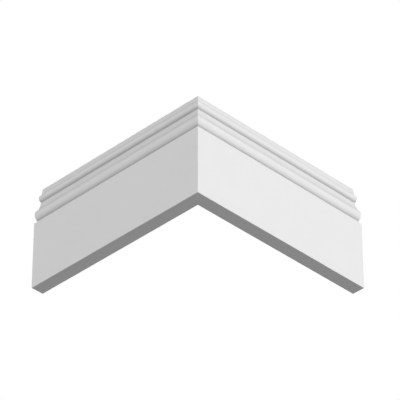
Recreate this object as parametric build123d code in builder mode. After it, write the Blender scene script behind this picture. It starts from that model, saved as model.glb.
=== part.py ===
from build123d import *
from math import sqrt
import os

# Outside corner of a moulded skirting board, in millimetres: two lengths of one
# section, mitred together at 45 degrees around the corner of a wall.
#
# The origin is where the wall's corner meets the floor. The left length runs
# along -X with its back on the wall plane Y = 0, and the right length runs along
# +Y with its back on the wall plane X = 0. Z points up from the floor.

# Board
HEIGHT = 150.0
THICKNESS = 18.0
LEFT_LENGTH = 280.0  # along the face, from the corner's arris to the square end
RIGHT_LENGTH = 280.0
ARRIS_EASE = 0.4  # softened edges of the flat face

# Mouldings, from the top down. A depth is measured back from the flat face, so
# a taller or a shorter board only gains or loses flat face.
TOP_DEPTH = 12.5  # where the nosing meets the flat top
NOSING_RISE = 7.2
NOSING_RADIUS = 16.0
FILLET_DEPTH = 10.6  # upright band between the nosing and the bead
FILLET_RISE = 4.15
BEAD_RADIUS = 4.95
BEAD_DEPTH = 5.8  # foremost line of the bead
COVE_DEPTH = 9.85  # innermost line of the cove, under the bead
COVE_RISE = 15.45
COVE_RADIUS = 33.0
TORUS_RADIUS = 8.65
TORUS_DEPTH = 0.2  # foremost line of the torus
TORUS_HEAD_DEPTH = 3.75  # where the torus meets the cove above it
TORUS_FOOT_DEPTH = 5.0  # where it meets the ledge above the flat face
QUIRK_RISE = 5.35  # upright wall of the ledge, under the torus


def half_chord(radius, rise):
    """Half the chord of a circular arc of this radius that stands this far off its chord."""
    return sqrt(radius**2 - (radius - rise) ** 2)


def out(depth):
    """Distance from the wall of a line that lies this depth behind the flat face."""
    return THICKNESS - depth


# Heights of the lines where one moulding ends and the next begins
nosing_foot = HEIGHT - NOSING_RISE
bead_top = nosing_foot - FILLET_RISE
bead_middle = bead_top - half_chord(BEAD_RADIUS, FILLET_DEPTH - BEAD_DEPTH)
bead_foot = bead_middle - half_chord(BEAD_RADIUS, COVE_DEPTH - BEAD_DEPTH)
torus_top = bead_foot - COVE_RISE
torus_middle = torus_top - half_chord(TORUS_RADIUS, TORUS_HEAD_DEPTH - TORUS_DEPTH)
torus_foot = torus_middle - half_chord(TORUS_RADIUS, TORUS_FOOT_DEPTH - TORUS_DEPTH)
face_top = torus_foot - QUIRK_RISE

# Section of the board, drawn with the wall at X = 0 and the floor at Y = 0
with BuildSketch() as section:
    with BuildLine():
        face = Polyline(
            (0, 0),
            (out(0), 0),
            (out(0), face_top),
            (out(TORUS_FOOT_DEPTH), face_top),
            (out(TORUS_FOOT_DEPTH), torus_foot),
        )
        torus = ThreePointArc(
            face @ 1,
            (out(TORUS_DEPTH), torus_middle),
            (out(TORUS_HEAD_DEPTH), torus_top),
        )
        cove = RadiusArc(torus @ 1, (out(COVE_DEPTH), bead_foot), COVE_RADIUS)
        bead = ThreePointArc(
            cove @ 1,
            (out(BEAD_DEPTH), bead_middle),
            (out(FILLET_DEPTH), bead_top),
        )
        fillet_band = Line(bead @ 1, (out(FILLET_DEPTH), nosing_foot))
        nosing = RadiusArc(fillet_band @ 1, (out(TOP_DEPTH), HEIGHT), -NOSING_RADIUS)
        Polyline(nosing @ 1, (0, HEIGHT), (0, 0))
    make_face()
    # The two edges of the flat face, at the floor and at the ledge
    fillet(section.vertices().group_by(Axis.X)[-1], ARRIS_EASE)

# The mitre stands on the line from the wall's corner to the arris of the face
mitre = Plane(origin=(0, 0, 0), x_dir=(1, -1, 0), z_dir=(1, 1, 0))

# Square ends, each with the section's X pointing away from the wall
left_end = Plane(origin=(THICKNESS - LEFT_LENGTH, 0, 0), x_dir=(0, -1, 0), z_dir=(-1, 0, 0))
right_end = Plane(origin=(0, RIGHT_LENGTH - THICKNESS, 0), x_dir=(1, 0, 0), z_dir=(0, -1, 0))

# Left length
with BuildPart() as left_board:
    with BuildSketch(left_end):
        add(section.sketch)
    extrude(amount=-LEFT_LENGTH)
    split(bisect_by=mitre, keep=Keep.BOTTOM)

# Right length
with BuildPart() as right_board:
    with BuildSketch(right_end):
        add(section.sketch)
    extrude(amount=RIGHT_LENGTH)
    split(bisect_by=mitre, keep=Keep.TOP)

left_board.part.label = "left_board"
right_board.part.label = "right_board"

os.makedirs("parts", exist_ok=True)
export_step(left_board.part, "parts/left_board.step")
export_step(right_board.part, "parts/right_board.step")
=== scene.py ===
"""Studio scene for a white moulded skirting board that turns an outside wall corner.

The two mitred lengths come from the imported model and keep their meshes. This file
gives them their paint and sets up the floor, the soft light and the camera.
"""

from __future__ import annotations

import logging
import math
from dataclasses import dataclass
from enum import Enum
from typing import Any

import bmesh
import bpy
from mathutils import Euler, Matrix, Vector


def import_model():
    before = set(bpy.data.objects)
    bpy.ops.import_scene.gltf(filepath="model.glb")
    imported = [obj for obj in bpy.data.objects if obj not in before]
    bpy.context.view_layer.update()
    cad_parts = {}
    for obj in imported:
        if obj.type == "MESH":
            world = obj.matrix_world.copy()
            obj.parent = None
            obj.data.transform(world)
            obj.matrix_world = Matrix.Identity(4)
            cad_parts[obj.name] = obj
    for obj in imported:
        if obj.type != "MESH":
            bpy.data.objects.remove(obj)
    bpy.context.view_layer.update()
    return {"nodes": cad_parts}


log = logging.getLogger("skirting_corner")

WHITE = (1.0, 1.0, 1.0, 1.0)
NOISE_SPAN = (0.3, 0.7)  # between which nearly all of a noise's values lie

# Places of a Mix node's sockets for colours, which share their names with others
MIX_SHARE = 0
MIX_FIRST = 6
MIX_SECOND = 7
MIX_RESULT = 2

# Level directions that the studio is laid out by: from the corner towards the
# viewer, and across it to the viewer's right.
TOWARDS_VIEWER = Vector((1.0, -1.0, 0.0)).normalized()
TO_THE_RIGHT = Vector((1.0, 1.0, 0.0)).normalized()
UPWARDS = Vector((0.0, 0.0, 1.0))


class Run(Enum):
    """The direction in which a length of board runs, as the mouldings on it do."""

    ALONG_LEFT_WALL = "X"
    ALONG_RIGHT_WALL = "Y"


class NodeSheet:
    """The node tree of one material or world, with short calls that fill it."""

    def __init__(self, tree: bpy.types.NodeTree) -> None:
        """Takes the tree and empties it.

        Args:
            tree: The node tree to fill.
        """
        self.tree = tree
        tree.nodes.clear()

    def add(
        self, kind: str, sockets: dict[str | int, Any] | None = None, **settings: Any
    ) -> bpy.types.Node:
        """Adds one node.

        Args:
            kind: The node's type, such as ShaderNodeTexNoise.
            sockets: What goes into its inputs, by name or place: another node's
                output, which is linked, or a plain value.
            **settings: The node's own properties.

        Returns:
            The new node.
        """
        node = self.tree.nodes.new(kind)
        for name, value in settings.items():
            setattr(node, name, value)
        for key, value in (sockets or {}).items():
            if isinstance(value, bpy.types.NodeSocket):
                self.tree.links.new(value, node.inputs[key])
            else:
                node.inputs[key].default_value = value
        return node

    def maths(self, operation: str, *values: Any) -> bpy.types.NodeSocket:
        """Adds a Math node.

        Args:
            operation: The operation's name, such as MULTIPLY.
            *values: Its inputs in order, each a number or an output.

        Returns:
            The result's socket.
        """
        return self.add(
            "ShaderNodeMath", dict(enumerate(values)), operation=operation
        ).outputs[0]

    def ramp(
        self,
        value: bpy.types.NodeSocket,
        source: tuple[float, float],
        target: tuple[float, float],
        smooth: bool = False,
    ) -> bpy.types.NodeSocket:
        """Adds a Map Range node.

        Args:
            value: The number to map.
            source: Its lowest and highest value.
            target: What those two become.
            smooth: True for soft ends, False for a straight line.

        Returns:
            The mapped number's socket.
        """
        return self.add(
            "ShaderNodeMapRange",
            {
                "Value": value,
                "From Min": source[0],
                "From Max": source[1],
                "To Min": target[0],
                "To Max": target[1],
            },
            interpolation_type="SMOOTHSTEP" if smooth else "LINEAR",
        ).outputs[0]

    def noise(
        self,
        place: bpy.types.NodeSocket,
        size: float,
        detail: float,
        stretch: tuple[float, float, float] = (1.0, 1.0, 1.0),
    ) -> bpy.types.NodeSocket:
        """Adds a noise whose patches have a real size.

        Args:
            place: The coordinates that it is laid out on, in metres.
            size: How far apart its patches are, in metres.
            detail: How many finer layers it has.
            stretch: How many times longer the patches are on each axis.

        Returns:
            The noise's value, around one half.
        """
        spread = self.add(
            "ShaderNodeMapping",
            {"Vector": place, "Scale": tuple(1.0 / (size * s) for s in stretch)},
        ).outputs[0]
        return self.add(
            "ShaderNodeTexNoise",
            {"Vector": spread, "Scale": 1.0, "Detail": detail},
        ).outputs[0]

    def blend_colours(
        self,
        share: bpy.types.NodeSocket,
        first: Any,
        second: Any,
    ) -> bpy.types.NodeSocket:
        """Adds a colour Mix node.

        Args:
            share: How much of the second colour shows.
            first: The colour at a share of 0.
            second: The colour at a share of 1.

        Returns:
            The mixed colour's socket.
        """
        return self.add(
            "ShaderNodeMix",
            {MIX_SHARE: share, MIX_FIRST: first, MIX_SECOND: second},
            data_type="RGBA",
        ).outputs[MIX_RESULT]

    def grey(self, shade: bpy.types.NodeSocket) -> bpy.types.NodeSocket:
        """Makes a neutral colour of a shade."""
        return self.add(
            "ShaderNodeCombineColor", {0: shade, 1: shade, 2: shade}
        ).outputs[0]

    def uneven(
        self,
        place: bpy.types.NodeSocket,
        size: float,
        detail: float,
        target: tuple[float, float],
    ) -> bpy.types.NodeSocket:
        """Adds a noise that wanders between two values.

        Args:
            place: The coordinates that it is laid out on, in metres.
            size: How far apart its patches are, in metres.
            detail: How many finer layers it has.
            target: The two values.

        Returns:
            The wandering value's socket.
        """
        return self.ramp(self.noise(place, size, detail), NOISE_SPAN, target)

    def relief(
        self,
        height: bpy.types.NodeSocket,
        depth: float,
        under: bpy.types.NodeSocket | None = None,
        strength: float | bpy.types.NodeSocket = 1.0,
    ) -> bpy.types.NodeSocket:
        """Adds a Bump node.

        Args:
            height: The relief's height, from 0 to 1.
            depth: How deep it is, in metres.
            under: The relief that it is laid over, if there is one.
            strength: How much of it shows.

        Returns:
            The bent normal.
        """
        sockets = {"Height": height, "Distance": depth, "Strength": strength}
        if under is not None:
            sockets["Normal"] = under
        return self.add("ShaderNodeBump", sockets).outputs[0]


@dataclass(frozen=True)
class PaintedShadeLine:
    """A line along the mouldings painted the primer's grey, as painted shade.

    It lies at a height above the floor and reaches as far up as down, in metres.
    """

    height: float
    reach: float


@dataclass(frozen=True)
class LowSheenPaint:
    """Smooth white paint with a low sheen, sprayed on the front of a board.

    The front is filled and rubbed down. The back and the sawn end only have the
    primer, so they are a shade greyer, duller and show the board's fibres. A few
    lines of the mouldings are greyed to the primer's shade as painted shade, and
    light that bounces off the boards sees a dark colour, which paints the hollows
    darker. Sizes and depths are in metres.
    """

    name: str = "low_sheen_white"
    coat: float = 0.84
    # The primer's shade, which also colours the painted shade lines
    primer: float = 0.78
    bounce_shade: float = 0.15  # painted shade: a dark colour that only bounced light sees, so hollows stay darker
    # Painted shade: lines along the mouldings, mostly in creases and recesses, greyed
    # to the primer's shade
    painted_shade_lines: tuple[PaintedShadeLine, ...] = (
        PaintedShadeLine(0.1158, 0.0042),  # where the torus turns into the cove
        PaintedShadeLine(0.1288, 0.0030),  # under the bead
        PaintedShadeLine(0.1403, 0.0042),  # behind the top of the bead
        PaintedShadeLine(0.1500, 0.0045),  # the top edge
    )
    shade_variation: float = 0.006
    cloud_size: float = 0.045
    cloud_detail: float = 3.0
    roughness: float = 0.80
    primer_roughness: float = 0.88
    roughness_variation: float = 0.05
    dull_patch_size: float = 0.018
    dull_patch_detail: float = 4.0
    sheen_level: float = 0.05
    stipple_size: float = 0.0016
    stipple_detail: float = 2.0
    stipple_depth: float = 0.000010
    rub_marks_size: float = 0.0009
    rub_marks_length: float = 60.0
    rub_marks_detail: float = 3.0
    rub_marks_depth: float = 0.000006
    fibre_size: float = 0.0005
    fibre_stretch: tuple[float, float, float] = (3.0, 3.0, 1.0)
    fibre_detail: float = 4.0
    fibre_depth: float = 0.00006
    # The share of a normal that lies along its axis, from which a face counts as one
    # of the backs or ends, and from which it wholly does
    square_on: tuple[float, float] = (0.90, 0.98)

    def material(self, run: Run) -> bpy.types.Material:
        """Makes the paint for a board that runs in one direction.

        Args:
            run: The direction of the board, which the rub marks follow.

        Returns:
            The new material.
        """
        made = bpy.data.materials.new(f"{self.name}_{run.value.lower()}")
        made.use_nodes = True
        sheet = NodeSheet(made.node_tree)
        coordinates = sheet.add("ShaderNodeTexCoord")
        place = coordinates.outputs["Object"]
        bare = self._primer_only(sheet, coordinates.outputs["Normal"])
        surface = sheet.add(
            "ShaderNodeBsdfPrincipled",
            {
                "Base Color": self._colour(sheet, place, bare),
                "Roughness": self._roughness(sheet, place, bare),
                "Normal": self._relief(sheet, place, bare, run),
                "Specular IOR Level": self.sheen_level,
            },
        )
        sheet.add("ShaderNodeOutputMaterial", {"Surface": surface.outputs[0]})
        return made

    def _primer_only(
        self, sheet: NodeSheet, normal: bpy.types.NodeSocket
    ) -> bpy.types.NodeSocket:
        """Finds the backs and the sawn ends, which face the walls' sides.

        Args:
            sheet: The material's nodes.
            normal: The surface's direction in the object's own axes.

        Returns:
            1 on a back or an end, and 0 elsewhere.
        """
        parts = sheet.add("ShaderNodeSeparateXYZ", {0: normal})
        backwards_x = sheet.maths("MULTIPLY", parts.outputs["X"], -1.0)
        end_or_back = sheet.maths("MAXIMUM", parts.outputs["Y"], backwards_x)
        return sheet.ramp(end_or_back, self.square_on, (0.0, 1.0))

    def _colour(
        self, sheet: NodeSheet, place: bpy.types.NodeSocket, bare: bpy.types.NodeSocket
    ) -> bpy.types.NodeSocket:
        """Mixes the coat's colour, with painted shade along a few lines and a dark
        colour for bounced light.

        Args:
            sheet: The material's nodes.
            place: The object's coordinates.
            bare: 1 where there is only primer.

        Returns:
            The base colour.
        """
        # The primer's grey on backs and ends, and the painted shade along the lines
        grey = sheet.maths("MAXIMUM", bare, self._painted_shade_lines(sheet, place))
        flat = sheet.ramp(grey, (0.0, 1.0), (self.coat, self.primer))
        around_one = (1.0 - self.shade_variation, 1.0 + self.shade_variation)
        cloud = sheet.uneven(place, self.cloud_size, self.cloud_detail, around_one)
        speck = sheet.uneven(place, self.stipple_size, self.stipple_detail, around_one)
        shade = sheet.maths("MULTIPLY", sheet.maths("MULTIPLY", flat, cloud), speck)
        # Painted shade: bounced light sees a dark colour, which darkens the hollows
        # between mouldings
        bounced = sheet.add("ShaderNodeLightPath").outputs["Is Diffuse Ray"]
        bounce_shade = (self.bounce_shade, self.bounce_shade, self.bounce_shade, 1.0)
        return sheet.blend_colours(bounced, sheet.grey(shade), bounce_shade)

    def _painted_shade_lines(
        self, sheet: NodeSheet, place: bpy.types.NodeSocket
    ) -> bpy.types.NodeSocket:
        """Finds the lines that carry painted shade.

        Args:
            sheet: The material's nodes.
            place: The object's coordinates, whose Z is the height above the floor.

        Returns:
            1 on the middle of a line, falling to 0 at its reach.
        """
        height = sheet.add("ShaderNodeSeparateXYZ", {0: place}).outputs["Z"]
        line_shade: float | bpy.types.NodeSocket = 0.0
        for line in self.painted_shade_lines:
            above = sheet.maths("SUBTRACT", height, line.height)
            away = sheet.maths("ABSOLUTE", above)
            here = sheet.ramp(away, (0.0, line.reach), (1.0, 0.0), smooth=True)
            line_shade = sheet.maths("MAXIMUM", line_shade, here)
        return line_shade

    def _roughness(
        self, sheet: NodeSheet, place: bpy.types.NodeSocket, bare: bpy.types.NodeSocket
    ) -> bpy.types.NodeSocket:
        """Varies the sheen a little, as a sprayed coat does.

        Args:
            sheet: The material's nodes.
            place: The object's coordinates.
            bare: 1 where there is only primer.

        Returns:
            The roughness.
        """
        dull = sheet.ramp(bare, (0.0, 1.0), (self.roughness, self.primer_roughness))
        patches = sheet.uneven(
            place,
            self.dull_patch_size,
            self.dull_patch_detail,
            (-self.roughness_variation, self.roughness_variation),
        )
        return sheet.maths("ADD", dull, patches)

    def _relief(
        self,
        sheet: NodeSheet,
        place: bpy.types.NodeSocket,
        bare: bpy.types.NodeSocket,
        run: Run,
    ) -> bpy.types.NodeSocket:
        """Builds the coat's fine relief: stipple, rub marks and fibres.

        Args:
            sheet: The material's nodes.
            place: The object's coordinates.
            bare: 1 where there is only primer.
            run: The direction that the rub marks follow.

        Returns:
            The bent normal.
        """
        along = tuple(
            self.rub_marks_length if axis == run.value else 1.0 for axis in "XYZ"
        )
        stipple = sheet.relief(
            sheet.noise(place, self.stipple_size, self.stipple_detail),
            self.stipple_depth,
        )
        rub_marks = sheet.relief(
            sheet.noise(place, self.rub_marks_size, self.rub_marks_detail, along),
            self.rub_marks_depth,
            stipple,
        )
        return sheet.relief(
            sheet.noise(place, self.fibre_size, self.fibre_detail, self.fibre_stretch),
            self.fibre_depth,
            rub_marks,
            bare,
        )


@dataclass
class CornerBoards:
    """The two mitred lengths of board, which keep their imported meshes."""

    paint: LowSheenPaint
    left_node: str = "left_board"
    right_node: str = "right_board"

    def dress(self, nodes: dict[str, bpy.types.Object]) -> list[bpy.types.Object]:
        """Paints both lengths.

        Args:
            nodes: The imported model's objects by name.

        Returns:
            The painted objects.
        """
        runs = {
            self.left_node: Run.ALONG_LEFT_WALL,
            self.right_node: Run.ALONG_RIGHT_WALL,
        }
        painted = []
        for name, run in runs.items():
            board = nodes[name]
            finish = self.paint.material(run)
            for slot in board.material_slots:
                slot.material = finish
            painted.append(board)
        return painted


@dataclass
class StudioFloor:
    """A plain white floor that keeps the boards' shadow and fades into the backdrop.

    The photograph looks up at the boards, so the floor only shows from above. It
    lets light through to the undersides, as if they were held in the air. Its own
    light makes it white where no shadow lies. Sizes are in metres.
    """

    name: str = "studio_floor"
    drop: float = 0.0001
    radius: float = 6.0
    sides: int = 96
    paint: float = 0.85
    paint_variation: float = 0.004
    grain_size: float = 0.03
    grain_detail: float = 3.0
    own_light: float = 0.54
    fade_from: float = 0.7
    fade_to: float = 2.6

    def build(self) -> bpy.types.Object:
        """Makes the round floor just under the boards.

        Returns:
            The floor's object.
        """
        disc = bmesh.new()
        bmesh.ops.create_circle(
            disc, cap_ends=True, segments=self.sides, radius=self.radius
        )
        bmesh.ops.translate(disc, verts=disc.verts, vec=(0.0, 0.0, -self.drop))
        mesh = bpy.data.meshes.new(self.name)
        disc.to_mesh(mesh)
        disc.free()
        floor = bpy.data.objects.new(self.name, mesh)
        bpy.context.scene.collection.objects.link(floor)
        mesh.materials.append(self._material())
        return floor

    def _material(self) -> bpy.types.Material:
        """Makes the floor's material.

        Returns:
            White that is shaded near the boards, plain white far from them, and
            nothing at all from below.
        """
        made = bpy.data.materials.new(self.name)
        made.use_nodes = True
        sheet = NodeSheet(made.node_tree)
        place = sheet.add("ShaderNodeTexCoord").outputs["Object"]
        away = sheet.add("ShaderNodeVectorMath", {0: place}, operation="LENGTH")
        far = sheet.ramp(
            away.outputs["Value"],
            (self.fade_from, self.fade_to),
            (0.0, 1.0),
            smooth=True,
        )
        grain = sheet.uneven(
            place,
            self.grain_size,
            self.grain_detail,
            (self.paint - self.paint_variation, self.paint + self.paint_variation),
        )
        matt = sheet.add("ShaderNodeBsdfDiffuse", {"Color": sheet.grey(grain)})
        lift = sheet.add(
            "ShaderNodeEmission", {"Color": WHITE, "Strength": self.own_light}
        )
        shaded = sheet.add(
            "ShaderNodeAddShader", {0: matt.outputs[0], 1: lift.outputs[0]}
        )
        plain = sheet.add("ShaderNodeEmission", {"Color": WHITE, "Strength": 1.0})
        white = sheet.add(
            "ShaderNodeMixShader", {0: far, 1: shaded.outputs[0], 2: plain.outputs[0]}
        )
        below = sheet.add("ShaderNodeNewGeometry").outputs["Backfacing"]
        seen = sheet.add("ShaderNodeLightPath").outputs["Is Camera Ray"]
        shown = sheet.maths("MULTIPLY", seen, sheet.maths("SUBTRACT", 1.0, below))
        clear = sheet.add("ShaderNodeBsdfTransparent")
        surface = sheet.add(
            "ShaderNodeMixShader", {0: shown, 1: clear.outputs[0], 2: white.outputs[0]}
        )
        sheet.add("ShaderNodeOutputMaterial", {"Surface": surface.outputs[0]})
        return made


@dataclass
class Backdrop:
    """The white surroundings, which give the boards only a little of their light."""

    ambient: float = 0.035

    def build(self) -> bpy.types.World:
        """Makes the world: white to look at and in a sheen, dimmer as a light.

        Returns:
            The new world.
        """
        world = bpy.data.worlds.new("white_surroundings")
        bpy.context.scene.world = world
        world.use_nodes = True
        sheet = NodeSheet(world.node_tree)
        path = sheet.add("ShaderNodeLightPath").outputs
        looked_at = sheet.maths(
            "MAXIMUM",
            path["Is Camera Ray"],
            sheet.maths("MAXIMUM", path["Is Glossy Ray"], path["Is Transmission Ray"]),
        )
        strength = sheet.ramp(looked_at, (0.0, 1.0), (self.ambient, 1.0))
        surroundings = sheet.add(
            "ShaderNodeBackground", {"Color": WHITE, "Strength": strength}
        )
        sheet.add("ShaderNodeOutputWorld", {"Surface": surroundings.outputs[0]})
        return world


@dataclass(frozen=True)
class SoftLamp:
    """One broad lamp, far away, given by the heading and height that it shines from.

    A heading of 0 is the viewer's own and a positive one is to the viewer's right.
    The level is how bright a white surface that faces the lamp looks. The heading,
    the height and the width are in degrees, and the distance is in metres.
    """

    name: str
    heading: float
    height: float
    level: float
    width: float = 30.0
    distance: float = 2.0

    def build(self) -> bpy.types.Object:
        """Makes the lamp.

        Returns:
            The lamp's object.
        """
        turn, tilt = math.radians(self.heading), math.radians(self.height)
        level_part = TOWARDS_VIEWER * math.cos(turn) + TO_THE_RIGHT * math.sin(turn)
        source = level_part * math.cos(tilt) + UPWARDS * math.sin(tilt)
        light = bpy.data.lights.new(self.name, "SUN")
        light.energy = math.pi * self.level
        light.angle = math.radians(self.width)
        lamp = bpy.data.objects.new(self.name, light)
        lamp.rotation_euler = source.to_track_quat("Z", "Y").to_euler()
        lamp.location = source * self.distance
        bpy.context.scene.collection.objects.link(lamp)
        return lamp


@dataclass
class StudioLights:
    """Broad lamps: five at different heights in front of the corner, and one behind."""

    lamps: tuple[SoftLamp, ...] = (
        SoftLamp("right_front_lamp", 60.0, 0.0, 0.647),
        SoftLamp("left_front_lamp", -35.0, 0.0, 0.415),
        SoftLamp("low_front_lamp", 0.0, -40.0, 0.236),
        SoftLamp("high_front_lamp", 0.0, 40.0, 0.200),
        SoftLamp("lowest_front_lamp", 35.0, -60.0, 0.041),
        SoftLamp("rear_lamp", -170.0, 33.0, 1.0),
    )

    def build(self) -> list[bpy.types.Object]:
        """Makes every lamp and returns their objects."""
        return [lamp.build() for lamp in self.lamps]


@dataclass
class Viewpoint:
    """The photograph's camera: below the corner, square on to it and looking up.

    The place and the reach are in metres, the angles in degrees, and the focal
    length and the film's width in millimetres.
    """

    place: tuple[float, float, float] = (1.917466, -1.91574, -1.89757)
    upward: float = 35.0917
    heading: float = 44.9736
    focal_length: float = 260.7984
    film_width: float = 36.0
    reach: float = 100.0

    def build(self) -> bpy.types.Object:
        """Makes the camera and gives it to the scene.

        Returns:
            The camera's object.
        """
        lens = bpy.data.cameras.new("viewpoint")
        lens.lens = self.focal_length
        lens.sensor_width = self.film_width
        lens.clip_end = self.reach
        camera = bpy.data.objects.new("viewpoint", lens)
        camera.location = self.place
        camera.rotation_euler = Euler(
            (math.radians(90.0 + self.upward), 0.0, math.radians(self.heading))
        )
        bpy.context.scene.collection.objects.link(camera)
        bpy.context.scene.camera = camera
        return camera


def main() -> None:
    """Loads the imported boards, paints them and sets the studio up round them."""
    logging.basicConfig(level=logging.INFO, format="%(name)s: %(message)s")
    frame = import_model()
    bpy.context.scene.view_settings.view_transform = "Standard"
    for board in CornerBoards(LowSheenPaint()).dress(frame["nodes"]):
        log.info("painted %s, %d faces", board.name, len(board.data.polygons))
    log.info("floor %s", StudioFloor().build().name)
    log.info("surroundings %s", Backdrop().build().name)
    for lamp in StudioLights().build():
        log.info("lamp %s", lamp.name)
    log.info("camera %s", Viewpoint().build().name)


if __name__ == "__main__":
    main()
